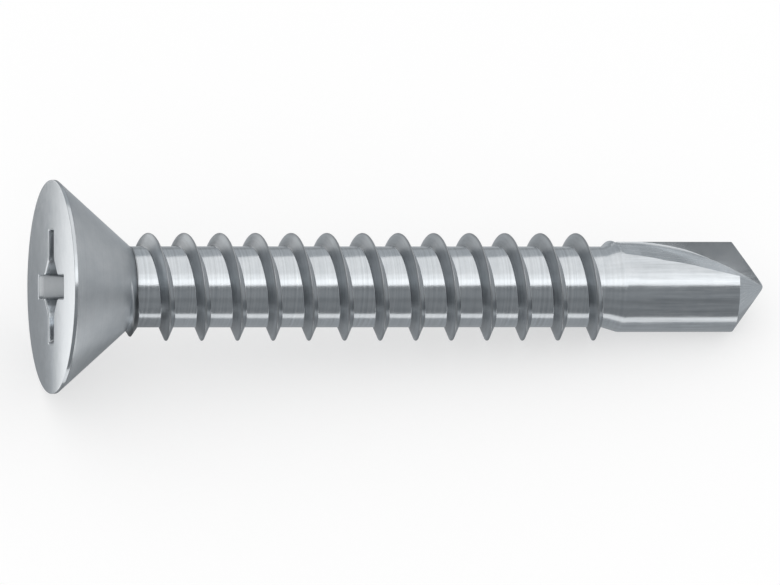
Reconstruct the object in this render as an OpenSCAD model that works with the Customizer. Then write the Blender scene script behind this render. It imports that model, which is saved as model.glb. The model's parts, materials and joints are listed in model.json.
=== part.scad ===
// Self drilling screw with a flat countersunk head, a cross recess, a coarse tapping thread
// and a drill point with two flutes. It is one piece, forged and thread-rolled from steel wire.
// The screw is modelled along its own axis, with the face of the head at 0 and the tip at screw_l.
// Angles about that axis start at the first cutting lip and run clockwise as seen from the head.
// The finished screw lies on a flat surface as it comes to rest, with its tip towards +X.

/* [Length] */
// Length from the face of the head to the tip
screw_l = 32; // [20:0.5:50]

/* [Head] */
// Diameter of the countersunk head
head_d = 9.3; // [8.4:0.1:10.5]
// Height of the straight rim between the face and the cone
rim_h = 0.15; // [0.1:0.05:0.5]
// Bevel on the edge of the face
face_bevel = 0.05; // [0.02:0.01:0.08]
// Included angle of the cone below the rim
cone_angle = 82; // [80:1:92]

/* [Cross recess] */
// Span across two opposite wings at the face
recess_span = 5; // [4.4:0.1:5.4]
// Width of a wing at the face
wing_w = 1.03; // [0.8:0.01:1.2]
// Depth of the wings at their ends
wing_depth = 2.7; // [2:0.1:3]
// Slope of the ends of the wings against the screw's axis
wing_end_slope = 26.5; // [24:0.5:28]
// Slope of the sides of the wings against the screw's axis
wing_side_slope = 3; // [1:0.5:4]
// Width at the face of the square core that bevels the corners between the wings
recess_core_w = 2.46; // [2:0.02:2.8]
// Slope of the sides of that core against the screw's axis
recess_core_slope = 7; // [4:0.5:9]
// Included angle of the bottom of the recess
recess_bottom_angle = 140; // [120:2:160]

/* [Thread] */
// Diameter over the crest
thread_d = 4.7; // [4.4:0.05:5.2]
// Diameter of the core between the turns
root_d = 3.53; // [3.3:0.01:3.7]
// Distance from one turn to the next
pitch = 1.6; // [1.4:0.05:2]
// Width of the flat on the crest
crest_w = 0.05; // [0.03:0.01:0.2]
// Included angle of the flanks
flank_angle = 52; // [45:1:60]
// Distance from the end of the head's cone to the first full crest
neck_l = 0.86; // [0.6:0.02:2]
// Turns over which the crest rises under the head
run_in = 1.6; // [1.2:0.1:2]
// Turns over which the crest fades into the drill point
run_out = 1; // [0.6:0.1:1.4]

/* [Drill point] */
// Diameter of the drill point
drill_d = 3.95; // [3.8:0.05:4.3]
// Length of the drill point, from the shoulder to the tip
drill_l = 6.6; // [6:0.1:9]
// Length of the shoulder between the thread's core and the drill point
shoulder_l = 0.72; // [0.5:0.02:1.2]
// Included angle of the two cutting lips
point_angle = 104; // [100:2:130]
// Sideways shift of the ground cone on each half, which clears the heel behind each lip
heel_shift = 0.12; // [0.04:0.02:0.2]
// Thickness of the web between the two flutes
web_t = 0.3; // [0.2:0.05:0.5]
// Length of the flutes, from the tip to where their floor starts to fall away
flute_l = 6.4; // [5.5:0.1:8]
// Depth of the flutes where their floor starts to fall away
flute_start_depth = 0.12; // [0.06:0.02:0.3]
// Slope of the ramp on which each flute runs out towards the head
flute_ramp = 15; // [10:1:30]
// Slope of the floor of a flute, across its width
flute_cross_slope = 20; // [5:1:25]

/* [Resting pose] */
// Angle from the second lip to the lowest line of the lying screw
rest_roll = 46; // [35:1:50]

/* [Hidden] */
$fn = 96;
// Facets of the thread in one turn
turn_steps = 40;
// How far one form reaches into the next, so that they join as one solid
lap = 0.2;
// Distance between the places at which the heel behind a flute is tested against the surface
heel_step = 0.1;

head_r = head_d / 2;
root_r = root_d / 2;
crest_r = thread_d / 2;
drill_r = drill_d / 2;

// Radius of the recess where the wings end, and its depth on the axis
recess_foot_r = recess_span / 2 - wing_depth * tan(wing_end_slope);
recess_depth = wing_depth + recess_foot_r / tan(recess_bottom_angle / 2);

// Where the head's cone meets the thread's core, and the first full crest
neck_z = rim_h + (head_r - root_r) / tan(cone_angle / 2);
thread_z = neck_z + neck_l;

// The drill point from its shoulder to its outer corners
drill_z = screw_l - drill_l;
shoulder_z = drill_z - shoulder_l;
corner_z = screw_l - drill_r / tan(point_angle / 2);

// Width of the thread at its foot, and the number of full turns up to the shoulder
foot_w = crest_w + 2 * (crest_r - root_r) * tan(flank_angle / 2);
full_turns = (shoulder_z - foot_w / 2 - thread_z) / pitch;
last_step = round((run_in + full_turns + run_out) * turn_steps);

// The floor of a flute is an arc that leaves parallel to the axis and reaches it at the tip
floor_z = screw_l - flute_l;
floor_top = drill_r - flute_start_depth;
floor_r = (flute_l ^ 2 + floor_top ^ 2) / (2 * floor_top);

// Turns from the first full crest to one step of the thread
function turn_at(step) = step / turn_steps - run_in;

// Share of its full height that the thread has at a turn
function height_share(turn) = max(0, min(1, (turn + run_in) / run_in,
    (full_turns + run_out - turn) / run_out));

// Radius of the crest, and place of the crest along the axis, at a turn
function crest_radius(turn) = root_r + (crest_r - root_r) * height_share(turn);
function crest_place(turn) = thread_z + pitch * turn;

// A point at a radius and a place along the axis, at the angle of a turn
function turned(radius, turn, z) = [radius * cos(360 * turn), radius * sin(360 * turn), z];

// The four points of the thread's section at one step, from its lower foot to its upper foot
function section(step) = let (turn = turn_at(step), z = crest_place(turn), r = crest_radius(turn)) [
    turned(root_r, turn, z - foot_w / 2),
    turned(r, turn, z - crest_w / 2),
    turned(r, turn, z + crest_w / 2),
    turned(root_r, turn, z + foot_w / 2)
];

// Height of a flute's floor above the axis, square to the floor, at a place along the axis
function floor_height(z) = floor_top - floor_r + sqrt(floor_r ^ 2 - (z - floor_z) ^ 2);

// Slope of a line from the rim of the head to a point at a radius, a place and an angle off down
function rest_slope(radius, z, off_down) = (head_r - radius * cos(off_down)) / (z - rim_h);

// Angle from a lip to the edge of the heel behind its flute, at a place along the axis
function heel_angle(z) = flute_cross_slope + acos(floor_height(z) / drill_r);

// The lying screw touches the surface with its rim and with whichever of these points is first:
// a crest of the thread, the heel behind a flute or the corner of a lip
down_turn = (180 + rest_roll) / 360;
lip_angle = asin(web_t / 2 / drill_r);
rest_slopes = concat(
    [for (turn = [down_turn : 1 : full_turns + run_out])
        rest_slope(crest_radius(turn), crest_place(turn) + crest_w / 2, 0)],
    [for (z = [floor_z : heel_step : corner_z])
        rest_slope(drill_r, z, max(0, heel_angle(z) - rest_roll))],
    [rest_slope(drill_r, corner_z, rest_roll - lip_angle)]
);
tilt = atan(min(rest_slopes));
rest_height = head_r * cos(tilt) + rim_h * sin(tilt);
rest_shift = (screw_l * cos(tilt) - (head_r - face_bevel) * sin(tilt)) / 2;

// Head: face, bevelled edge, straight rim and cone, which ends inside the thread's core
module head_blank() {
    end_z = neck_z + lap / tan(cone_angle / 2);
    rotate_extrude()
        polygon([
            [0, 0],
            [head_r - face_bevel, 0],
            [head_r, face_bevel],
            [head_r, rim_h],
            [root_r - lap, end_z],
            [0, end_z]
        ]);
}

// Core and thread as one helical skin: three faces for the ridge and one for the core beside it
module threaded_shank() {
    low_axis = 4 * (last_step + 1);
    high_axis = low_axis + 1;
    first_foot = crest_place(turn_at(0)) - foot_w / 2;
    last_foot = crest_place(turn_at(last_step)) + foot_w / 2;
    points = concat(
        [for (step = [0 : last_step]) each section(step)],
        [[0, 0, first_foot - lap], [0, 0, last_foot + lap]]
    );
    // Two triangles between neighbouring steps, from point a up to point b of the section
    function strip(step, a, b) = [
        [4 * step + a, 4 * step + b, 4 * (step + 1) + b],
        [4 * step + a, 4 * (step + 1) + b, 4 * (step + 1) + a]
    ];
    ridge = [for (step = [0 : last_step - 1], side = [0 : 2]) each strip(step, side, side + 1)];
    core = [for (step = [0 : last_step - 1 - turn_steps]) each strip(step, 3, 4 * turn_steps)];
    low_end = concat(
        [for (step = [0 : turn_steps - 1]) [4 * step, 4 * (step + 1), low_axis]],
        [for (side = [0 : 2]) [low_axis, side + 1, side]],
        [[low_axis, 4 * turn_steps, 3]]
    );
    last = 4 * last_step;
    high_end = concat(
        [for (step = [last_step - turn_steps : last_step - 1]) [4 * step + 7, 4 * step + 3, high_axis]],
        [for (side = [0 : 2]) [high_axis, last + side, last + side + 1]],
        [[high_axis, last - 4 * turn_steps + 3, last]]
    );
    polyhedron(points, concat(ridge, core, low_end, high_end), convexity = 10);
}

// Side view of the space that a flute takes: a ramp at its start, then the arc of its floor
module flute_side() {
    top = drill_r + lap;
    end_z = screw_l + lap;
    difference() {
        polygon([
            [floor_top, floor_z],
            [top, floor_z - (top - floor_top) / tan(flute_ramp)],
            [top, end_z],
            [floor_height(end_z), end_z],
            [floor_height(end_z), floor_z]
        ]);
        translate([floor_top - floor_r, floor_z]) circle(floor_r, $fn = 360);
    }
}

// Space of one flute, which ends at the rake face that holds the cutting lip
module flute() {
    intersection() {
        rotate([0, 0, flute_cross_slope])
            rotate([90, 0, 0])
                linear_extrude(3 * drill_d, center = true) flute_side();
        translate([-drill_d, web_t / 2, shoulder_z - drill_d])
            cube([2 * drill_d, drill_d, drill_l + shoulder_l + 2 * drill_d]);
    }
}

// Cone to which one half of the point is ground, shifted away from its heel
module ground_cone(shift) {
    cone_h = drill_l + shoulder_l + drill_d;
    half_angle = point_angle / 2;
    apex_z = screw_l + heel_shift / tan(half_angle);
    translate([0, shift, apex_z - cone_h]) cylinder(h = cone_h, r1 = cone_h * tan(half_angle), r2 = 0);
}

// Shoulder and drill point, with both halves of the point ground and both flutes cut
module drill_point() {
    start_z = shoulder_z - lap * shoulder_l / (drill_r - root_r);
    difference() {
        intersection() {
            rotate_extrude()
                polygon([
                    [0, start_z],
                    [root_r - lap, start_z],
                    [drill_r, drill_z],
                    [drill_r, screw_l + lap],
                    [0, screw_l + lap]
                ]);
            ground_cone(heel_shift);
            ground_cone(-heel_shift);
        }
        for (side = [0, 180]) rotate([0, 0, side]) flute();
    }
}

// Turned space that the recess stays inside: a cone at the ends of the wings and a flatter bottom
module recess_cone() {
    rotate_extrude()
        polygon([
            [0, -lap],
            [recess_span / 2 + lap * tan(wing_end_slope), -lap],
            [recess_foot_r, wing_depth],
            [0, recess_depth]
        ]);
}

// Long slot across the axis, with a width at the face and sides that draw in by a slope
module tapered_slot(width, slope) {
    bottom_z = recess_depth + lap;
    top_w = width / 2 + lap * tan(slope);
    bottom_w = width / 2 - bottom_z * tan(slope);
    rotate([90, 0, 90])
        linear_extrude(2 * recess_span, center = true)
            polygon([[-top_w, -lap], [top_w, -lap], [bottom_w, bottom_z], [-bottom_w, bottom_z]]);
}

// Cross recess in the face of the head: two slots for the wings, and two at 45 degrees for the core
module cross_recess() {
    for (side = [0, 90])
        intersection() {
            recess_cone();
            rotate([0, 0, side]) tapered_slot(wing_w, wing_side_slope);
        }
    intersection() {
        recess_cone();
        rotate([0, 0, 45]) tapered_slot(recess_core_w, recess_core_slope);
        rotate([0, 0, -45]) tapered_slot(recess_core_w, recess_core_slope);
    }
}

// The whole screw, laid down on the rim of its head and on its thread
module screw() {
    color([0.74, 0.76, 0.78])
        translate([-rest_shift, 0, rest_height])
            rotate([0, 90 + tilt, 0])
                rotate([0, 0, 180 - rest_roll])
                    difference() {
                        union() {
                            head_blank();
                            threaded_shank();
                            drill_point();
                        }
                        cross_recess();
                    }
}

screw();
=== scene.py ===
"""Looks of the self drilling screw: its finished surface, a pale floor, soft light and the camera.

The screw is modelled in millimetres in its own directions. Its z runs along the axis, from 0 at the
face of the head to SCREW_L at the tip. Its x points to the first cutting lip, where clock angles
start, and its y points to the camera. The frame's mounts then say where the face is, which way the
axis runs and how far the screw has rolled.
"""

import json
import math

import bmesh
import bpy
from mathutils import Matrix, Vector


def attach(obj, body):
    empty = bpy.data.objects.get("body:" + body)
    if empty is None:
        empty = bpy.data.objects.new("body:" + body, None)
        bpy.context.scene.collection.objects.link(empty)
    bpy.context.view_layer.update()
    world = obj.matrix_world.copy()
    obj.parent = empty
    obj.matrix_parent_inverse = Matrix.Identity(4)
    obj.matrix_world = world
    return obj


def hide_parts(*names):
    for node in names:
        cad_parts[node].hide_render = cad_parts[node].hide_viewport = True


MM = 0.001

# Sizes of the screw in millimetres and degrees, the same as in its source
SCREW_L = 32.0
HEAD_R = 4.65
RIM_H = 0.15
CONE_HALF = 41.0
ROOT_R = 1.765
CREST_R = 2.35
PITCH = 1.6
CREST_W = 0.05
FLANK_HALF = 26.0
NECK_L = 0.86
RUN_IN = 1.6
RUN_OUT = 1.0
DRILL_R = 1.975
DRILL_L = 6.6
SHOULDER_L = 0.72
POINT_HALF = 52.0
HEEL_SHIFT = 0.12
WEB_T = 0.3
FLUTE_L = 6.4
FLUTE_START_DEPTH = 0.12
FLUTE_CROSS_SLOPE = 20.0
RECESS_SPAN = 5.0
WING_W = 1.03
WING_DEPTH = 2.7
WING_END_SLOPE = 26.5
WING_SIDE_SLOPE = 3.0
RECESS_CORE_W = 2.46
RECESS_CORE_SLOPE = 7.0
RECESS_BOTTOM_HALF = 70.0

# Small forms that only the finished surface has, in millimetres and degrees
FACE_ROUND = 0.02
RIM_ROUND = 0.02
CREST_ROUND = 0.03
FOOT_FILLET = 0.03
SHOULDER_ROUND = 0.5
FLUTE_FILLET = 0.12
RAKE_HOLLOW = 4.0
FLUTE_RUN_R = 1.3
RECESS_ROUND = 0.05
WING_CORNER = 0.12
CORE_CORNER = 0.35

# The thread's height falls with this power of what is left of its run-out
RUN_OUT_POWER = 1.3

# The fillet in a flute thins out over a stretch that ends this far from the tip, down to a share
FILLET_FADE_L = 1.5
FILLET_FADE_TO_TIP = 2.0
FILLET_LEAST = 0.25

# A flute's floor, as it runs out to the head, is followed for this share of the way to its top
FLUTE_RUN_SHARE = 0.98

# Slope across a flute's floor in degrees, at distances from the tip: the floor twists on its way there
SLOPES_TO_TIP = (
    (7.0, 20.5), (5.8, 23.2), (4.8, 24.2), (4.0, 22.4), (3.5, 21.0), (3.0, 19.7), (2.5, 17.7),
    (2.0, 14.7), (1.5, 11.2), (1.0, 9.5),
)

# How finely the surface is meshed: steps round the axis, rows along it and steps of the roundings
ROUND_STEPS = 256
THREAD_STEPS = 120
DRILL_STEPS = 240
FACE_RADII = (3.6, 4.3, 4.5)
CONE_ROWS = 14
FLANK_ROWS = 4
SHOULDER_ROWS = 3
BODY_ROWS = 16
POINT_ROWS = 28
FLUTE_ROWS = 72
RECESS_EDGE_ROWS = 5
WING_ROWS = 12
BOTTOM_ROWS = 8
RIM_STEPS = 5
THREAD_EDGE_STEPS = 4
SHOULDER_STEPS = 6
FILLET_STEPS = 8
WING_CORNER_STEPS = 5
CORE_CORNER_STEPS = 6
SHARP_ANGLE = math.radians(24.0)

# Overlap of forms that are joined or cut, and gaps at which points count as one or as level, in millimetres
LAP = 0.2
WELD = 0.001
SAME_PLACE = 1e-5
FLAT = 1e-4

# The photograph's frame: its width in pixels, its scale and the point of the screw at its middle
FRAME_PX = 780
PX_PER_MM = 22.92
FRAME_Z = 15.172
FRAME_BELOW_AXIS = 0.2465
LEAN_TO_HEAD = 13.9
CAMERA_DISTANCE = 0.84
SENSOR_MM = 36.0


def tan(degrees):
    """Tangent of an angle in degrees."""
    return math.tan(math.radians(degrees))


# Places that follow from the sizes
NECK_Z = RIM_H + (HEAD_R - ROOT_R) / tan(CONE_HALF)
THREAD_Z = NECK_Z + NECK_L
DRILL_Z = SCREW_L - DRILL_L
SHOULDER_Z = DRILL_Z - SHOULDER_L
FLOOR_Z = SCREW_L - FLUTE_L
FLOOR_TOP = DRILL_R - FLUTE_START_DEPTH
FLOOR_R = (FLUTE_L**2 + FLOOR_TOP**2) / (2 * FLOOR_TOP)
FOOT_W = CREST_W + 2 * (CREST_R - ROOT_R) * tan(FLANK_HALF)
FLOOR_SLOPES = [(SCREW_L - to_tip, slope) for to_tip, slope in SLOPES_TO_TIP]
FULL_TURNS = (SHOULDER_Z - FOOT_W / 2 - THREAD_Z) / PITCH

# The space of a flute reaches past the body to the side and above, and starts where its floor is nearly up
FLUTE_REACH = 1.5 * DRILL_R
FLUTE_TOP = DRILL_R + 3 * LAP
FLUTE_START_Z = FLOOR_Z - math.sqrt(2 * FLUTE_RUN_R * (FLUTE_TOP - FLOOR_TOP)) * FLUTE_RUN_SHARE

# Stretches along the axis over which one finish passes into the next, or over which painted shade comes in
# or fades
CONE_START = (RIM_H, RIM_H + 0.1)
HEAD_END = (NECK_Z - 0.2, NECK_Z)
THREAD_END = (SHOULDER_Z - 0.1, SHOULDER_Z)
DRILL_START = (DRILL_Z - 0.1, DRILL_Z)
MARKS_TURN = (SHOULDER_Z - 0.8, DRILL_Z + 1.0)
RIDGE_START = (NECK_Z - 0.22, NECK_Z - 0.1)
RIDGE_START_END = (NECK_Z + 0.4, NECK_Z + 0.6)
FLOOR_DARKENS = (SCREW_L - 5.0, SCREW_L - 1.1)
POINT_START = (SCREW_L - 0.25, SCREW_L - 0.15)
RECESS_MOUTH = (0.02, 0.1)

# Stretches across the axis, and distances from the rake face, the cone and the corner behind it
FLANK_FOOT = (ROOT_R + 0.002, ROOT_R + 0.06)
FLANK_RISE = (ROOT_R + 0.002, CREST_R)
BODY_EDGE = (DRILL_R - 0.03, DRILL_R - 0.01)
RECESS_ACROSS = (-RECESS_SPAN / 2, RECESS_SPAN / 2)
OFF_RAKE = (WEB_T, WEB_T + 0.1)
INSIDE_CONE = (0.4, 0.6)
OUTSIDE_CONE = (-0.02, -0.08)
OFF_CORNER = (0.03, 0.08)

# Patterns of the steel's surface: scale, detail and roughness of the noise
ROUND_MARKS = (9.0, 3.0, 0.6)
LONG_MARKS = (16.0, 3.0, 0.6)
MOTTLE = (1.4, 5.0, 0.65)
GRAIN = (22.0, 2.0, 0.5)

# Marks: change of the long ones along the axis, strength on the head, and the range that shows
LONG_MARKS_PER_MM = 0.02
HEAD_MARKS = 0.25
MARK_RANGE = (0.3, 0.7)

# Colour of the steel from the dark to the light of its mottle
STEEL_COLOURS = ((0.3, (0.65, 0.686, 0.716)), (0.7, (0.73, 0.761, 0.787)))

# Tones as shares of that colour: from the core up the thread's flanks, where they are painted shade that is
# darkest at the flanks' foot, and across the recess along x
FLANK_PAINTED_SHADE = ((0.0, 1.0), (0.02, 0.5), (0.12, 0.6), (0.85, 0.82), (1.0, 0.6))
# The recess tones are painted shade and painted highlights on the recess walls, set by their place along x
RECESS_PAINTED_LIGHT_AND_SHADE = (
    (0.15, 0.5), (0.18, 1.3), (0.325, 1.2), (0.345, 0.7), (0.39, 0.7), (0.41, 0.76), (0.59, 0.76),
    (0.61, 0.6), (0.64, 0.6), (0.66, 0.85), (0.69, 0.85), (0.71, 0.58),
)

# Tones of the marks, of the point's ground surfaces, and the painted shade of the flutes' floors on their
# way to the tip
MARK_TONES = (0.88, 1.1)
GROUND_TONE = 0.88
FLOOR_PAINTED_SHADE = (1.05, 0.63)

# How much painted shade darkens the start of the ridge and the corner behind the cone, and the most in all
RIDGE_DARK = 0.6
CORNER_DARK = 0.45
NECK_DARKEST = 0.65

# Roughness from the marks, and what the mottle and the dull parts add to it
MARK_ROUGHNESS = (0.11, 0.18)
MOTTLE_ROUGHNESS = 0.06
DULL_ROUGHNESS = 0.17
GROUND_DULL = 0.45

# Relief of the marks and of the grain: strength and height in metres
MARK_RELIEF = (0.35, 0.004 * MM)
GRAIN_RELIEF = (0.2, 0.002 * MM)

# The floor, in metres and tones
FLOOR_HALF = 1.5
FLOOR_GREY = 0.45
FLOOR_GLOW = 0.55
MATTE = 0.9

# Colours of the studio's cards, and the tone above which they are bright ones
BRIGHT_CARD = (1.0, 1.0, 1.0)
DARK_CARD = (0.925, 0.965, 1.0)
BRIGHT_ABOVE = 0.6

# Reach of the cards in metres: radii across the screw, and places along it
ARCH_R = 0.3
RECESS_CARD_R = 0.29
END_CARD_R = 0.32
ARCH_STEPS = 12
HEAD_END_X = -0.5
TIP_END_X = 0.5
MIDDLE_X = (-0.1, 0.22)
RECESS_CARD_X = (-0.4, -0.15)

# Cards bent over the middle, from the floor's front to its back, and the angles past the camera's own
# at which one ends and the next starts
ARCH_CARDS = (
    ("low_front_card", 0.22), ("mid_front_card", 0.28), ("high_front_card", 0.24), ("bright_card", 1.36),
    ("half_bright_card", 1.1), ("white_top_card", 0.92), ("grey_back_card", 0.47),
)
ARCH_BREAKS = (-32.0, -12.0, 3.5, 21.0, 36.0, 97.0)
RECESS_CARD_HALF = 22.0

# Floor cards lie in thin layers. Their edges follow reflection angles, up from the camera, at places
# along the shank, or they are straight lines in metres
CARD_LAYER = 0.00002
SHANK_PLACES = [SCREW_L * k / 4 for k in range(5)]
DARK_FLOOR_ANGLES = (-84.0, -62.0)
SHADOW_CARD_ANGLE = -100.5
FRONT_Y = -0.3
BACK_Y = (0.005, 0.016, 0.3)
TIP_CARD_X = (0.0003, 0.012)
TIP_CARD_Y = (-0.004, 0.01)
CONE_CARD_L = 0.005
CONE_CARDS = (("cone_back_card", 0.005, 0.018, 0.3), ("cone_front_card", -0.005, 0.003, 0.25))

# Floor cards seen in the face, a painted shadow of the head that grades into painted light: their edges
# across it in millimetres, and their tones
FACE_X = (-6.0, 7.0)
FACE_Y = (-6.0, -1.2, -0.6, 0.0, 0.6, 1.2, 1.8, 2.4, 6.0)
FACE_TONES = (0.34, 0.36, 0.38, 0.43, 0.6, 0.88, 1.12, 1.25)


# Helpers that make meshes


def edit_mesh(mesh, change):
    """Runs a function on a mesh in its editable form."""
    bm = bmesh.new()
    bm.from_mesh(mesh)
    change(bm)
    bm.to_mesh(mesh)
    bm.free()


def turn_outwards(bm):
    """Joins the points that lie on each other and turns the faces outwards."""
    bmesh.ops.remove_doubles(bm, verts=bm.verts, dist=SAME_PLACE)
    bmesh.ops.recalc_face_normals(bm, faces=bm.faces)


def new_object(name, verts, faces):
    """An object of one mesh, with its faces turned outwards where it is closed."""
    mesh = bpy.data.meshes.new(name)
    mesh.from_pydata([tuple(v) for v in verts], [], faces)
    edit_mesh(mesh, turn_outwards)
    obj = bpy.data.objects.new(name, mesh)
    bpy.context.scene.collection.objects.link(obj)
    return obj


def clock(steps):
    """Evenly spaced angles round the axis."""
    return [2 * math.pi * k / steps for k in range(steps)]


def circle(radius, z, steps):
    """Points of a circle about the axis."""
    return [(radius * math.cos(t), radius * math.sin(t), z) for t in clock(steps)]


def quads(rows, count):
    """Faces between neighbouring rings of equally many points."""
    faces = []
    for row in range(rows - 1):
        for k in range(count):
            a = row * count + k
            b = row * count + (k + 1) % count
            faces.append((a, b, b + count, a + count))
    return faces


def ringed_object(name, rings):
    """A closed mesh through rings of equally many points, with flat faces over its two ends."""
    count = len(rings[0])
    last = (len(rings) - 1) * count
    faces = quads(len(rings), count)
    faces.append(tuple(range(count - 1, -1, -1)))
    faces.append(tuple(range(last, last + count)))
    return new_object(name, [p for ring in rings for p in ring], faces)


def revolved(name, profile, steps):
    """A closed solid of revolution. The profile runs from the axis out and back to the axis."""
    rings = [circle(r, z, steps) for r, z in profile[1:-1]]
    verts = [p for ring in rings for p in ring]
    low = len(verts)
    last = low - steps
    verts += [(0, 0, profile[0][1]), (0, 0, profile[-1][1])]
    faces = quads(len(rings), steps)
    for k in range(steps):
        n = (k + 1) % steps
        faces.append((low, n, k))
        faces.append((low + 1, last + k, last + n))
    return new_object(name, verts, faces)


def rounded(before, corner, after, radius, steps):
    """Points of a rounding of the corner between two straight stretches of a profile."""
    c = Vector(corner)
    to_a = (Vector(before) - c).normalized()
    to_b = (Vector(after) - c).normalized()
    half = to_a.angle(to_b) / 2
    reach = radius / math.tan(half)
    centre = c + (to_a + to_b).normalized() * (radius / math.sin(half))
    start = c + to_a * reach - centre
    end = c + to_b * reach - centre
    sweep = start.angle_signed(end)
    points = []
    for k in range(steps + 1):
        turn = Matrix.Rotation(-sweep * k / steps, 2)
        points.append(tuple(centre + turn @ start))
    return points


def spaced(start, end, count):
    """Evenly spaced points from one point up to, but without, another."""
    return [tuple(Vector(start).lerp(Vector(end), k / count)) for k in range(count)]


def combined(base, others, operation):
    """The base object after a boolean with each of the others, which are deleted."""
    for other in others:
        mod = base.modifiers.new("cut", "BOOLEAN")
        mod.operation = operation
        mod.solver = "MANIFOLD"
        mod.object = other
    graph = bpy.context.evaluated_depsgraph_get()
    mesh = bpy.data.meshes.new_from_object(base.evaluated_get(graph))
    base.modifiers.clear()
    base.data = mesh
    for other in others:
        bpy.data.objects.remove(other)
    return base


# The head


def make_head():
    """Head with its rounded edges, down to the end of its cone inside the thread's core."""
    end_z = NECK_Z + LAP / tan(CONE_HALF)
    middle = (0.0, 0.0)
    face = (HEAD_R, 0.0)
    rim = (HEAD_R, RIM_H)
    foot = (ROOT_R - LAP, end_z)
    profile = [middle] + [(r, 0.0) for r in FACE_RADII]
    profile += rounded(middle, face, rim, FACE_ROUND, RIM_STEPS)
    profile += rounded(face, rim, foot, RIM_ROUND, RIM_STEPS)
    profile += spaced(profile[-1], foot, CONE_ROWS)[1:]
    profile += [foot, (0.0, end_z)]
    return revolved("head", profile, ROUND_STEPS)


def recess_bottom():
    """Depth of the recess on the axis."""
    foot_r = RECESS_SPAN / 2 - WING_DEPTH * tan(WING_END_SLOPE)
    return WING_DEPTH + foot_r / tan(RECESS_BOTTOM_HALF)


def mouth_flare(depth):
    """How far the rounded edge of the recess opens it at a depth."""
    if depth >= RECESS_ROUND:
        return 0.0
    return RECESS_ROUND - math.sqrt(RECESS_ROUND**2 - (RECESS_ROUND - depth) ** 2)


def recess_quarter(depth, end_r):
    """Outline of a quarter of the recess, from the end of one wing up to the next wing's end."""
    flare = mouth_flare(depth)
    half_w = WING_W / 2 - depth * tan(WING_SIDE_SLOPE) + flare
    core = (RECESS_CORE_W / 2 - depth * tan(RECESS_CORE_SLOPE) + flare) * math.sqrt(2)
    tip = (end_r, 0.0)
    edge = (end_r, half_w)
    bend = (core - half_w, half_w)
    over = (half_w, core - half_w)
    half = [tip]
    half += rounded(tip, edge, bend, WING_CORNER + flare, WING_CORNER_STEPS)
    half += rounded(edge, bend, over, CORE_CORNER, CORE_CORNER_STEPS)
    half += [(core / 2, core / 2)]
    return half + [(y, x) for x, y in reversed(half[1:-1])]


def recess_ring(z):
    """Outline of the cross recess at a place along the axis, kept inside its conical bottom."""
    depth = max(z, 0.0)
    end_r = RECESS_SPAN / 2 - min(depth, WING_DEPTH) * tan(WING_END_SLOPE) + mouth_flare(depth)
    limit = min(end_r, (recess_bottom() - depth) * tan(RECESS_BOTTOM_HALF))
    ring = []
    for side in range(4):
        for x, y in recess_quarter(depth, end_r):
            shrink = min(1.0, limit / math.hypot(x, y))
            x, y = x * shrink, y * shrink
            ring.append(((x, y), (-y, x), (-x, -y), (y, -x))[side] + (z,))
    return ring


def make_recess():
    """Space of the cross recess, with a rounded edge at the face."""
    depths = [-LAP] + [RECESS_ROUND * k / RECESS_EDGE_ROWS for k in range(RECESS_EDGE_ROWS + 1)]
    for k in range(1, WING_ROWS + 1):
        depths.append(RECESS_ROUND + (WING_DEPTH - RECESS_ROUND) * k / WING_ROWS)
    for k in range(1, BOTTOM_ROWS):
        depths.append(WING_DEPTH + (recess_bottom() - WING_DEPTH) * k / BOTTOM_ROWS)
    return ringed_object("recess", [recess_ring(z) for z in depths])


# The shank


def height_share(turn):
    """Share of its full height that the thread has at a turn."""
    rise = (turn + RUN_IN) / RUN_IN
    fade = max(0.0, FULL_TURNS + RUN_OUT - turn) / RUN_OUT
    return max(0.0, min(1.0, rise, fade**RUN_OUT_POWER))


def thread_section():
    """Section of the ridge: places along the axis, and heights above the core."""
    height = CREST_R - ROOT_R
    foot = (-FOOT_W / 2, 0.0)
    edge = (-CREST_W / 2, height)
    half = rounded((-PITCH / 2, 0.0), foot, edge, FOOT_FILLET, THREAD_EDGE_STEPS)
    half += spaced(half[-1], edge, FLANK_ROWS)[1:-1]
    half += rounded(foot, edge, (CREST_W / 2, height), CREST_ROUND, THREAD_EDGE_STEPS)
    return half + [(-z, h) for z, h in reversed(half)]


def shank_points(section, steps):
    """Points of the shank's skin: the section of the ridge at each step along the helix."""
    points = []
    for step in range(steps + 1):
        turn = step / THREAD_STEPS - RUN_IN
        angle = 2 * math.pi * turn
        for dz, dh in section:
            r = ROOT_R + dh * height_share(turn)
            points.append((r * math.cos(angle), r * math.sin(angle), THREAD_Z + PITCH * turn + dz))
    return points


def shank_skin(per, steps):
    """Faces over the ridge, and over the core between each turn and the next."""
    faces = []
    for step in range(steps):
        for k in range(per - 1):
            a = step * per + k
            faces.append((a, a + per, a + per + 1, a + 1))
    turn_on = THREAD_STEPS * per
    for step in range(steps - THREAD_STEPS):
        a = step * per + per - 1
        faces.append((a, a + per, a + turn_on + 1, a + turn_on + 1 - per))
    return faces


def shank_ends(per, steps):
    """Faces from the first turn and from the last turn to a point on the axis."""
    low = (steps + 1) * per
    high = low + 1
    end = steps * per
    turn_on = THREAD_STEPS * per
    faces = []
    for step in range(THREAD_STEPS):
        faces.append((step * per, low, (step + 1) * per))
        a = (steps - THREAD_STEPS + step) * per + per - 1
        faces.append((a, a + per, high))
    for k in range(per - 1):
        faces.append((low, k, k + 1))
        faces.append((high, end + k + 1, end + k))
    faces.append((low, per - 1, turn_on))
    faces.append((high, end, end - turn_on + per - 1))
    return faces


def make_shank():
    """Core and thread as one helical skin, which closes inside the head and the drill point."""
    section = thread_section()
    per = len(section)
    steps = round((RUN_IN + FULL_TURNS + RUN_OUT) * THREAD_STEPS)
    points = shank_points(section, steps)
    points += [(0, 0, points[0][2] - LAP), (0, 0, points[-1][2] + LAP)]
    return new_object("shank", points, shank_skin(per, steps) + shank_ends(per, steps))


# The drill point


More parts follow.
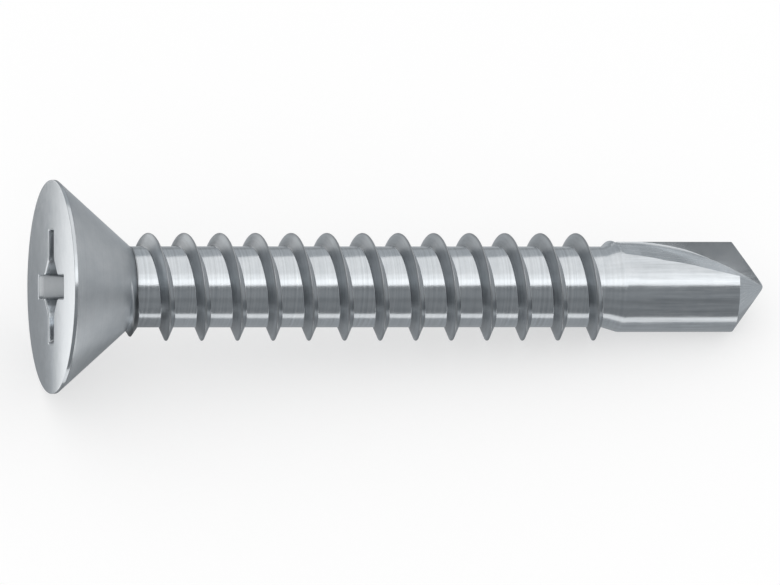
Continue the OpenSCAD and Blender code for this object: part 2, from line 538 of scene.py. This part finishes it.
def ground_ring(radius):
    """Points of the ground point at a radius: two cones, each shifted off the axis."""
    ring = []
    for t in clock(DRILL_STEPS):
        shifted = math.sqrt(radius**2 + 2 * radius * HEEL_SHIFT * abs(math.sin(t)) + HEEL_SHIFT**2)
        z = SCREW_L + (HEEL_SHIFT - shifted) / tan(POINT_HALF)
        ring.append((radius * math.cos(t), radius * math.sin(t), z))
    return ring


def close_tip(bm):
    """Draws the last small ring of the ground point together in the tip."""
    end = max(bm.faces, key=lambda f: len(f.verts) * f.calc_center_median().z)
    bmesh.ops.poke(bm, faces=[end])
    tip = max(bm.verts, key=lambda v: v.co.z if v.co.xy.length < FLAT else -1)
    tip.co = (0, 0, SCREW_L)


def make_drill_blank():
    """Shoulder, round body and ground point, before its flutes are cut."""
    slope = (DRILL_R - ROOT_R) / SHOULDER_L
    start = (ROOT_R - LAP, SHOULDER_Z - LAP / slope)
    knee = (DRILL_R, DRILL_Z)
    beyond = (DRILL_R, DRILL_Z + 4 * SHOULDER_ROUND)
    profile = spaced(start, (ROOT_R, SHOULDER_Z), SHOULDER_ROWS)
    profile += rounded(start, knee, beyond, SHOULDER_ROUND, SHOULDER_STEPS)
    rings = [circle(r, z, DRILL_STEPS) for r, z in profile]
    body_start = profile[-1][1]
    for row in range(1, BODY_ROWS + 1):
        share = row / BODY_ROWS
        rings.append([(x, y, body_start + (z - body_start) * share) for x, y, z in ground_ring(DRILL_R)])
    for row in range(1, POINT_ROWS):
        rings.append(ground_ring(DRILL_R * (1 - row / POINT_ROWS)))
    blank = ringed_object("drill", rings)
    edit_mesh(blank.data, close_tip)
    return blank


def floor_height(z):
    """Height of a flute's floor above the axis, square to the floor, with its run-out to the head."""
    if z < FLOOR_Z:
        return FLOOR_TOP + (FLOOR_Z - z) ** 2 / (2 * FLUTE_RUN_R)
    return FLOOR_TOP - FLOOR_R + math.sqrt(FLOOR_R**2 - (z - FLOOR_Z) ** 2)


def floor_slope(z):
    """Slope across a flute's floor at a place along the axis."""
    for (from_z, from_slope), (to_z, to_slope) in zip(FLOOR_SLOPES, FLOOR_SLOPES[1:]):
        if z < to_z:
            share = max(0.0, (z - from_z) / (to_z - from_z))
            return from_slope + (to_slope - from_slope) * share
    return FLOOR_SLOPES[-1][1]


def flute_section(z):
    """Section of a flute: u along its lip, and v from the rake face over the floor."""
    slope = math.radians(FLUTE_CROSS_SLOPE)
    corner_u = (floor_height(z) - WEB_T / 2 * math.sin(slope)) / math.cos(slope)
    corner = (corner_u, WEB_T / 2)
    over_u = FLUTE_TOP + LAP
    rake_top = (over_u, WEB_T / 2 + (over_u - corner_u) * tan(RAKE_HOLLOW))
    floor_end = (corner_u - (FLUTE_REACH - WEB_T / 2) * tan(floor_slope(z)), FLUTE_REACH)
    fade = (SCREW_L - FILLET_FADE_TO_TIP - z) / FILLET_FADE_L
    fillet = FLUTE_FILLET * max(FILLET_LEAST, min(1.0, fade))
    section = [rake_top]
    section += rounded(rake_top, corner, floor_end, fillet, FILLET_STEPS)
    section += [floor_end, (over_u, FLUTE_REACH)]
    return section


def make_flute(turn):
    """Space of one flute, turned about the axis: a rake face, a filleted corner and a sloping floor."""
    rings = []
    for row in range(FLUTE_ROWS + 1):
        z = FLUTE_START_Z + (SCREW_L + LAP - FLUTE_START_Z) * row / FLUTE_ROWS
        rings.append([
            (u * math.cos(turn) - v * math.sin(turn), u * math.sin(turn) + v * math.cos(turn), z)
            for u, v in flute_section(z)
        ])
    return ringed_object("flute", rings)


# The whole screw


def screw_placement(mounts):
    """Matrix from the screw's own millimetres to the frame, read from the frame's mounts."""
    places = {m["name"]: m for m in mounts}
    face = Vector(places["drive_recess"]["pos_m"])
    axis = -Vector(places["drive_recess"]["axis"]).normalized()
    half_way = Vector(places["head_face"]["pos_m"]) - face
    half_way = (half_way - axis * half_way.dot(axis)).normalized()
    across = axis.cross(half_way)
    lip = (half_way - across).normalized()
    viewer = (half_way + across).normalized()
    turn = Matrix((lip, viewer, axis)).transposed().to_4x4()
    return Matrix.Translation(face) @ turn


def weld_slivers(bm):
    """Merges the points that the booleans left almost on each other."""
    bmesh.ops.remove_doubles(bm, verts=bm.verts, dist=WELD)


def sharpen_face_edge(bm):
    """Keeps the flat of the face apart from the roundings beside it, so that it shades flat."""
    for edge in bm.edges:
        flat = [all(abs(v.co.z) < FLAT for v in face.verts) for face in edge.link_faces]
        if any(flat) and not all(flat):
            edge.smooth = False


def make_screw(placement):
    """The finished screw as one closed mesh in the frame."""
    drill = combined(make_drill_blank(), [make_flute(0.0), make_flute(math.pi)], "DIFFERENCE")
    body = combined(make_head(), [make_shank(), drill], "UNION")
    body = combined(body, [make_recess()], "DIFFERENCE")
    body.name = "screw_steel"
    body.data.name = "screw_steel"
    edit_mesh(body.data, weld_slivers)
    body.data.shade_smooth()
    body.data.set_sharp_from_angle(angle=SHARP_ANGLE)
    edit_mesh(body.data, sharpen_face_edge)
    body.data.transform(placement @ Matrix.Scale(MM, 4))
    weigh = body.modifiers.new("even_normals", "WEIGHTED_NORMAL")
    weigh.mode = "FACE_AREA"
    weigh.keep_sharp = True
    return body


# Helpers that make materials


class Nodes:
    """Adds nodes to a material's tree. All but fill and add return the socket with the result."""

    def __init__(self, tree):
        self.tree = tree

    def fill(self, node, inputs):
        """Links or sets inputs of a node."""
        for name, value in inputs.items():
            if isinstance(value, bpy.types.NodeSocket):
                self.tree.links.new(value, node.inputs[name])
            else:
                node.inputs[name].default_value = value

    def add(self, kind, inputs=None, **settings):
        """A new node with its settings and inputs."""
        node = self.tree.nodes.new(kind)
        for name, value in settings.items():
            setattr(node, name, value)
        self.fill(node, inputs or {})
        return node

    def number(self, operation, *values):
        """The result of arithmetic with one to three numbers."""
        return self.add("ShaderNodeMath", dict(enumerate(values)), operation=operation).outputs["Value"]

    def ramp(self, value, stretch, low=0.0, high=1.0):
        """A number that goes evenly from low to high while the value runs through the stretch."""
        node = self.add("ShaderNodeMapRange", {
            "Value": value, "From Min": stretch[0], "From Max": stretch[1], "To Min": low, "To Max": high,
        })
        return node.outputs["Result"]

    def blend(self, share, first, second):
        """The first number where the share is 0, and the second where it is 1."""
        node = self.add("ShaderNodeMix", {"Factor": share, 2: first, 3: second}, data_type="FLOAT")
        return node.outputs[0]

    def noise(self, place, scale, detail, roughness):
        """A cloudy pattern over a place, from 0 to 1."""
        node = self.add("ShaderNodeTexNoise", {
            "Vector": place, "Scale": scale, "Detail": detail, "Roughness": roughness,
        })
        return node.outputs["Fac"]

    def colours(self, value, stops):
        """A colour that changes evenly between stops, each of which has a position and a colour."""
        node = self.add("ShaderNodeValToRGB", {"Fac": value})
        elements = node.color_ramp.elements
        for element, (position, colour) in zip(elements, (stops[0], stops[-1])):
            element.position = position
            element.color = (*colour, 1)
        for position, colour in stops[1:-1]:
            elements.new(position).color = (*colour, 1)
        return node.outputs["Color"]

    def greys(self, value, stops):
        """A tone that changes evenly between stops, each of which has a position and a tone."""
        return self.colours(value, [(position, (tone, tone, tone)) for position, tone in stops])


def plain_material(name, colour, strength=None):
    """A matte material, or a plain glowing one where a strength is given."""
    mat = bpy.data.materials.new(name)
    mat.use_nodes = True
    tree = mat.node_tree
    nodes = Nodes(tree)
    if strength is None:
        nodes.fill(tree.nodes["Principled BSDF"], {
            "Base Color": (*colour, 1), "Roughness": MATTE, "Specular IOR Level": 0.0,
        })
        return mat
    glow = nodes.add("ShaderNodeEmission", {"Color": (*colour, 1), "Strength": strength})
    nodes.fill(tree.nodes["Material Output"], {"Surface": glow.outputs["Emission"]})
    return mat


# The steel


class OwnPlace:
    """Sockets that say where a point of the surface lies, in the screw's own millimetres."""

    def __init__(self, nodes, placement):
        self.point = nodes.add("ShaderNodeMapping", {
            "Vector": nodes.add("ShaderNodeTexCoord").outputs["Object"],
            "Location": placement.to_translation(),
            "Rotation": placement.to_euler(),
            "Scale": (MM, MM, MM),
        }, vector_type="TEXTURE").outputs["Vector"]
        parts = nodes.add("ShaderNodeSeparateXYZ", {"Vector": self.point})
        self.x = parts.outputs["X"]
        self.y = parts.outputs["Y"]
        self.z = parts.outputs["Z"]
        off_axis = nodes.add("ShaderNodeCombineXYZ", {"X": self.x, "Y": self.y}).outputs["Vector"]
        length = nodes.add("ShaderNodeVectorMath", {0: off_axis}, operation="LENGTH")
        spoke = nodes.add("ShaderNodeVectorMath", {0: off_axis}, operation="NORMALIZE")
        self.radius = length.outputs["Value"]
        self.spoke = spoke.outputs["Vector"]


class Zones:
    """Sockets that say which parts of the screw a point belongs to, each from 0 to 1."""

    def __init__(self, nodes, at):
        self.past_rim = nodes.ramp(at.z, CONE_START)
        self.past_head = nodes.ramp(at.z, HEAD_END)
        self.before_shoulder = nodes.ramp(at.z, THREAD_END, 1.0, 0.0)
        self.past_shoulder = nodes.ramp(at.z, DRILL_START)
        self.below_body = nodes.ramp(at.radius, BODY_EDGE, 1.0, 0.0)


def surface_marks(nodes, at, zones):
    """Fine marks: round the axis on the head and the rolled shank, and along it on the drill point."""
    round_place = nodes.add("ShaderNodeCombineXYZ", {"X": at.radius, "Z": at.z}).outputs["Vector"]
    round_marks = nodes.noise(round_place, *ROUND_MARKS)
    spoke = nodes.add("ShaderNodeSeparateXYZ", {"Vector": at.spoke})
    long_place = nodes.add("ShaderNodeCombineXYZ", {
        "X": spoke.outputs["X"],
        "Y": spoke.outputs["Y"],
        "Z": nodes.number("MULTIPLY", at.z, LONG_MARKS_PER_MM),
    }).outputs["Vector"]
    long_marks = nodes.noise(long_place, *LONG_MARKS)
    marks = nodes.blend(nodes.ramp(at.z, MARKS_TURN), round_marks, long_marks)
    # The head is smoother than the shank, so its marks stay nearer to their middle
    share = nodes.ramp(zones.past_head, (0.0, 1.0), HEAD_MARKS, 1.0)
    return nodes.number("MULTIPLY_ADD", nodes.number("SUBTRACT", marks, 0.5), share, 0.5)


def dull_share(nodes, at, zones):
    """How dull a point is: the head's cone and the flanks are dull, the ground surfaces half so."""
    flank = nodes.number("MULTIPLY", nodes.ramp(at.radius, FLANK_FOOT), zones.before_shoulder)
    ground = nodes.number("MULTIPLY", zones.past_shoulder, zones.below_body)
    off_head = nodes.number("MULTIPLY_ADD", ground, GROUND_DULL, flank)
    return nodes.blend(zones.past_head, zones.past_rim, off_head)


def flute_floor_share(nodes, at, zones):
    """1 on the floors of the flutes, and 0 on the rest of the drill point."""
    off_rake = nodes.ramp(nodes.number("ABSOLUTE", at.y), OFF_RAKE)
    cone_drop = nodes.number("MULTIPLY", at.radius, 1 / tan(POINT_HALF))
    before_point = nodes.ramp(nodes.number("ADD", at.z, cone_drop), POINT_START, 1.0, 0.0)
    floor_side = nodes.number("MULTIPLY", off_rake, before_point)
    return nodes.number("MULTIPLY", floor_side, zones.below_body)


def drill_tone(nodes, at, zones):
    """Tone of the drill point: its ground surfaces are darker, and painted shade darkens the flutes'
    floors, most of all at the tip.
    """
    ground = nodes.ramp(at.radius, BODY_EDGE, GROUND_TONE, 1.0)
    # Painted shade on the flutes' floors, growing towards the tip
    floor = nodes.ramp(at.z, FLOOR_DARKENS, *FLOOR_PAINTED_SHADE)
    tone = nodes.blend(flute_floor_share(nodes, at, zones), ground, floor)
    return nodes.blend(zones.past_shoulder, 1.0, tone)


def shank_tone(nodes, at, zones):
    """Tone of the thread, with painted shade over its flanks that is darkest at their foot, and of the
    drill point.
    """
    flank = nodes.greys(nodes.ramp(at.radius, FLANK_RISE), FLANK_PAINTED_SHADE)
    on_thread = nodes.number("MULTIPLY", zones.before_shoulder, zones.past_head)
    return nodes.blend(on_thread, drill_tone(nodes, at, zones), flank)


def depth_in_cone(nodes, at):
    """How far a point lies inside the head's cone, across the axis."""
    cone_radius = nodes.ramp(at.z, (0.0, NECK_Z), HEAD_R, ROOT_R)
    return nodes.number("SUBTRACT", cone_radius, at.radius)


def recess_share(nodes, at, zones, inside):
    """1 on the walls of the recess, which lie well inside the head's cone and carry its painted light and
    shade, and 0 elsewhere.
    """
    in_head = nodes.number("SUBTRACT", nodes.ramp(at.z, RECESS_MOUTH), zones.past_head)
    return nodes.number("MULTIPLY", nodes.ramp(inside, INSIDE_CONE), in_head)


def neck_painted_shade(nodes, at, inside):
    """Painted shade on the start of the ridge and in the corner behind the cone, as a tone."""
    started = nodes.ramp(at.z, RIDGE_START)
    not_over = nodes.ramp(at.z, RIDGE_START_END, 1.0, 0.0)
    stretch = nodes.number("MULTIPLY", started, not_over)
    ridge = nodes.number("MULTIPLY", stretch, nodes.ramp(inside, OUTSIDE_CONE))
    off_corner = nodes.number("ABSOLUTE", nodes.number("SUBTRACT", at.z, NECK_Z))
    corner = nodes.ramp(off_corner, OFF_CORNER, CORNER_DARK, 0.0)
    dark = nodes.number("MULTIPLY_ADD", ridge, RIDGE_DARK, corner)
    return nodes.ramp(dark, (0.0, NECK_DARKEST), 1.0, 1.0 - NECK_DARKEST)


def part_tone(nodes, at, zones, marks):
    """Tone of a point for the part that it is on, with painted light and shade on the recess, flanks, neck
    and flutes' floors, and the marks over it.
    """
    inside = depth_in_cone(nodes, at)
    # Painted shade and painted highlights on the recess walls, by their place along x
    recess = nodes.greys(nodes.ramp(at.x, RECESS_ACROSS), RECESS_PAINTED_LIGHT_AND_SHADE)
    tone = nodes.blend(recess_share(nodes, at, zones, inside), shank_tone(nodes, at, zones), recess)
    clean = nodes.number("MULTIPLY", tone, neck_painted_shade(nodes, at, inside))
    return nodes.number("MULTIPLY", clean, nodes.ramp(marks, MARK_RANGE, *MARK_TONES))


def steel_roughness(nodes, marks, mottle, dull):
    """Roughness from the marks and the mottle, with more on the dull parts."""
    from_marks = nodes.ramp(marks, MARK_RANGE, *MARK_ROUGHNESS)
    from_mottle = nodes.number("MULTIPLY", mottle, MOTTLE_ROUGHNESS)
    bright = nodes.number("ADD", from_marks, from_mottle)
    return nodes.number("MULTIPLY_ADD", dull, DULL_ROUGHNESS, bright)


def relief(nodes, height, size, normal=None):
    """The normal over a fine relief of a given strength and height."""
    inputs = {"Strength": size[0], "Distance": size[1], "Height": height}
    if normal is not None:
        inputs["Normal"] = normal
    return nodes.add("ShaderNodeBump", inputs).outputs["Normal"]


def steel_material(placement):
    """Bright steel with fine marks, a mottled gloss and dull flanks, with painted shade and highlights in
    the recess and painted shade on the flanks, neck and flutes' floors.
    """
    mat = bpy.data.materials.new("bright_steel")
    mat.use_nodes = True
    nodes = Nodes(mat.node_tree)
    at = OwnPlace(nodes, placement)
    zones = Zones(nodes, at)
    marks = surface_marks(nodes, at, zones)
    mottle = nodes.noise(at.point, *MOTTLE)
    grain = nodes.noise(at.point, *GRAIN)
    base = nodes.add("ShaderNodeVectorMath", {
        0: nodes.colours(mottle, STEEL_COLOURS),
        "Scale": part_tone(nodes, at, zones, marks),
    }, operation="SCALE").outputs["Vector"]
    nodes.fill(mat.node_tree.nodes["Principled BSDF"], {
        "Metallic": 1.0,
        "Base Color": base,
        "Roughness": steel_roughness(nodes, marks, mottle, dull_share(nodes, at, zones)),
        "Normal": relief(nodes, grain, GRAIN_RELIEF, relief(nodes, marks, MARK_RELIEF)),
    })
    return mat


# The studio


def make_sky():
    """Even, soft, white light from all round."""
    world = bpy.data.worlds.new("soft_light")
    bpy.context.scene.world = world
    world.use_nodes = True
    sky = world.node_tree.nodes["Background"]
    sky.inputs["Color"].default_value = (1, 1, 1, 1)
    sky.inputs["Strength"].default_value = 1.0


def make_floor():
    """A wide, plain, pale light table at the height on which the screw lies."""
    half = FLOOR_HALF
    corners = [(-half, -half, 0), (half, -half, 0), (half, half, 0), (-half, half, 0)]
    floor = new_object("floor", corners, [(0, 1, 2, 3)])
    mat = plain_material("pale_light_table", (FLOOR_GREY, FLOOR_GREY, FLOOR_GREY))
    shader = mat.node_tree.nodes["Principled BSDF"]
    shader.inputs["Emission Color"].default_value = (1, 1, 1, 1)
    shader.inputs["Emission Strength"].default_value = FLOOR_GLOW
    floor.data.materials.append(mat)


def make_card(name, verts, faces, tone):
    """A studio card of one tone that only reflections see."""
    card = new_object(name, verts, faces)
    colour = BRIGHT_CARD if tone > BRIGHT_ABOVE else DARK_CARD
    card.data.materials.append(plain_material(name, colour, tone))
    card.visible_camera = False
    card.visible_diffuse = False
    card.visible_shadow = False
    card.visible_transmission = False


def make_arched_card(name, angles, reach, tone, radius=ARCH_R):
    """A card bent round the screw's length, between two angles up from the front of the floor."""
    verts = []
    for k in range(ARCH_STEPS + 1):
        t = math.radians(angles[0] + (angles[1] - angles[0]) * k / ARCH_STEPS)
        for x in reach:
            verts.append((x, -radius * math.cos(t), radius * math.sin(t)))
    faces = [(2 * k, 2 * k + 1, 2 * k + 3, 2 * k + 2) for k in range(ARCH_STEPS)]
    make_card(name, verts, faces, tone)


def make_end_card(name, x, tone):
    """An upright card across the end of the arch."""
    r = END_CARD_R
    make_card(name, [(x, -r, 0), (x, r, 0), (x, r, r), (x, -r, r)], [(0, 1, 2, 3)], tone)


def make_arch(placement):
    """Cards that arch over the screw's middle and its two ends, and one upright at each end."""
    look_up = math.degrees(math.asin(placement.col[1].z))
    breaks = [0.0] + [look_up + past for past in ARCH_BREAKS] + [180.0]
    for (name, tone), angles in zip(ARCH_CARDS, zip(breaks, breaks[1:])):
        make_arched_card(name, angles, MIDDLE_X, tone)
    make_arched_card("grey_head_card", (0.0, 180.0), (HEAD_END_X, MIDDLE_X[0]), tone=0.3)
    facing_recess = (look_up - RECESS_CARD_HALF, look_up + RECESS_CARD_HALF)
    make_arched_card("recess_card", facing_recess, RECESS_CARD_X, tone=0.85, radius=RECESS_CARD_R)
    make_arched_card("grey_tip_card", (0.0, 180.0), (MIDDLE_X[1], TIP_END_X), tone=0.62)
    make_end_card("head_end_card", HEAD_END_X, tone=0.3)
    make_end_card("tip_end_card", TIP_END_X, tone=0.62)


def floor_seen(placement, place, normal):
    """Where the floor shows in the screw, at a place on it and a normal in the screw's own directions."""
    turn = placement.to_3x3()
    lean = math.radians(LEAN_TO_HEAD)
    look = turn @ Vector((0, -math.cos(lean), math.sin(lean)))
    facing = turn @ normal
    ray = look - facing * (2 * look.dot(facing))
    start = placement @ (place * MM)
    return start - ray * (start.z / ray.z)


def floor_seen_in_shank(placement, z, angle):
    """Where the floor shows at a place along the shank, at a reflection angle up from the camera."""
    half = math.radians(angle / 2)
    normal = Vector((math.sin(half), math.cos(half), 0))
    radius = ROOT_R if z < DRILL_Z else DRILL_R
    return floor_seen(placement, normal * radius + Vector((0, 0, z)), normal)


def shank_line(placement, angle, start_x):
    """Line on the floor that the shank shows at one reflection angle, drawn out at both ends."""
    line = [floor_seen_in_shank(placement, z, angle) for z in SHANK_PLACES]
    return [Vector((start_x, line[0].y, 0))] + line + [Vector((TIP_END_X, line[-1].y, 0))]


def straight(line, y):
    """A straight line across from a line on the floor, point by point."""
    return [Vector((p.x, y, 0)) for p in line]


def make_floor_card(name, near_edge, far_edge, tone, layer=1):
    """A card low on the floor between two edges, each given as points along the screw."""
    count = len(near_edge)
    verts = [(p[0], p[1], layer * CARD_LAYER) for p in near_edge + far_edge]
    faces = [(k, k + 1, count + k + 1, count + k) for k in range(count - 1)]
    make_card(name, verts, faces, tone)


def make_shank_floor(placement):
    """The floor seen in the shank: dark in front, then bare for a thin bright line, then grey under the
    screw, a painted shadow of it.
    """
    front = shank_line(placement, DARK_FLOOR_ANGLES[0], HEAD_END_X)
    mid = shank_line(placement, DARK_FLOOR_ANGLES[1], HEAD_END_X)
    under = shank_line(placement, SHADOW_CARD_ANGLE, placement.to_translation().x)
    behind = [straight(under, y) for y in BACK_Y]
    make_floor_card("dark_floor_card", front, mid, tone=0.22)
    make_floor_card("front_floor_card", mid, straight(mid, FRONT_Y), tone=0.25)
    # The card under and just behind the screw is a painted shadow of it, seen only in reflections
    make_floor_card("painted_shadow_floor_card", under, behind[0], tone=0.36)
    tip = placement @ Vector((0, 0, SCREW_L * MM))
    beyond = [Vector((tip.x + x, TIP_CARD_Y[0], 0)) for x in TIP_CARD_X]
    make_floor_card("tip_floor_card", beyond, straight(beyond, TIP_CARD_Y[1]), tone=0.52, layer=2)
    make_floor_card("light_back_floor_card", behind[0], behind[1], tone=0.5)
    make_floor_card("dark_back_floor_card", behind[1], behind[2], tone=0.35)


def make_head_floor(placement):
    """The floor seen in the head: dark in the cone, and in the face a painted shadow of the head that
    brightens into painted light to the camera's side.
    """
    head_x = placement.to_translation().x
    for name, near_y, far_y, tone in CONE_CARDS:
        near_edge = [Vector((head_x, near_y, 0)), Vector((head_x + CONE_CARD_L, near_y, 0))]
        make_floor_card(name, near_edge, straight(near_edge, far_y), tone, layer=2)
    facing = Vector((0, 0, -1))
    low_ends, high_ends = [
        [floor_seen(placement, Vector((x, y, 0)), facing) for y in FACE_Y] for x in FACE_X
    ]
    # Painted shadow of the head near it, brightening into painted light further out, seen only in
    # reflections in the face
    for k, tone in enumerate(FACE_TONES):
        make_floor_card(f"face_shadow_and_light_card_{k + 1}", low_ends[k:k + 2], high_ends[k:k + 2], tone)


def make_camera(placement):
    """The photograph's view: square to the screw, but for a small lean towards the head."""
    turn = placement.to_3x3()
    up, viewer, axis = turn.col[0], turn.col[1], turn.col[2]
    lean = math.radians(LEAN_TO_HEAD)
    back = viewer * math.cos(lean) - axis * math.sin(lean)
    right = axis * math.cos(lean) + viewer * math.sin(lean)
    aim = placement @ Vector((-FRAME_BELOW_AXIS * MM, 0, FRAME_Z * MM))
    data = bpy.data.cameras.new("camera")
    data.sensor_width = SENSOR_MM
    data.lens = SENSOR_MM * CAMERA_DISTANCE / (FRAME_PX / PX_PER_MM * MM)
    data.clip_start = 0.01
    data.clip_end = 10.0
    camera = bpy.data.objects.new("camera", data)
    bpy.context.scene.collection.objects.link(camera)
    view = Matrix((right, up, back)).transposed().to_4x4()
    camera.matrix_world = Matrix.Translation(aim + back * CAMERA_DISTANCE) @ view
    bpy.context.scene.camera = camera


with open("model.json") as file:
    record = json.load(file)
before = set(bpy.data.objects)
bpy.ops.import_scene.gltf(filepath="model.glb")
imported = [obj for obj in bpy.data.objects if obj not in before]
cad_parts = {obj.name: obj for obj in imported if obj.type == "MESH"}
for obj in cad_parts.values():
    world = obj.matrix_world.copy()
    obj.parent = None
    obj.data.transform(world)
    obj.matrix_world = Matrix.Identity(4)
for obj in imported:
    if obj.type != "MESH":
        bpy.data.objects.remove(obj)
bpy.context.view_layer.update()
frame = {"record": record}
bpy.context.scene.view_settings.view_transform = "Standard"

to_frame = screw_placement(frame["record"]["mounts"])
make_camera(to_frame)
make_sky()
make_floor()
make_arch(to_frame)
make_shank_floor(to_frame)
make_head_floor(to_frame)
screw = make_screw(to_frame)
screw.data.materials.clear()
screw.data.materials.append(steel_material(to_frame))
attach(screw, "root")
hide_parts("screw")
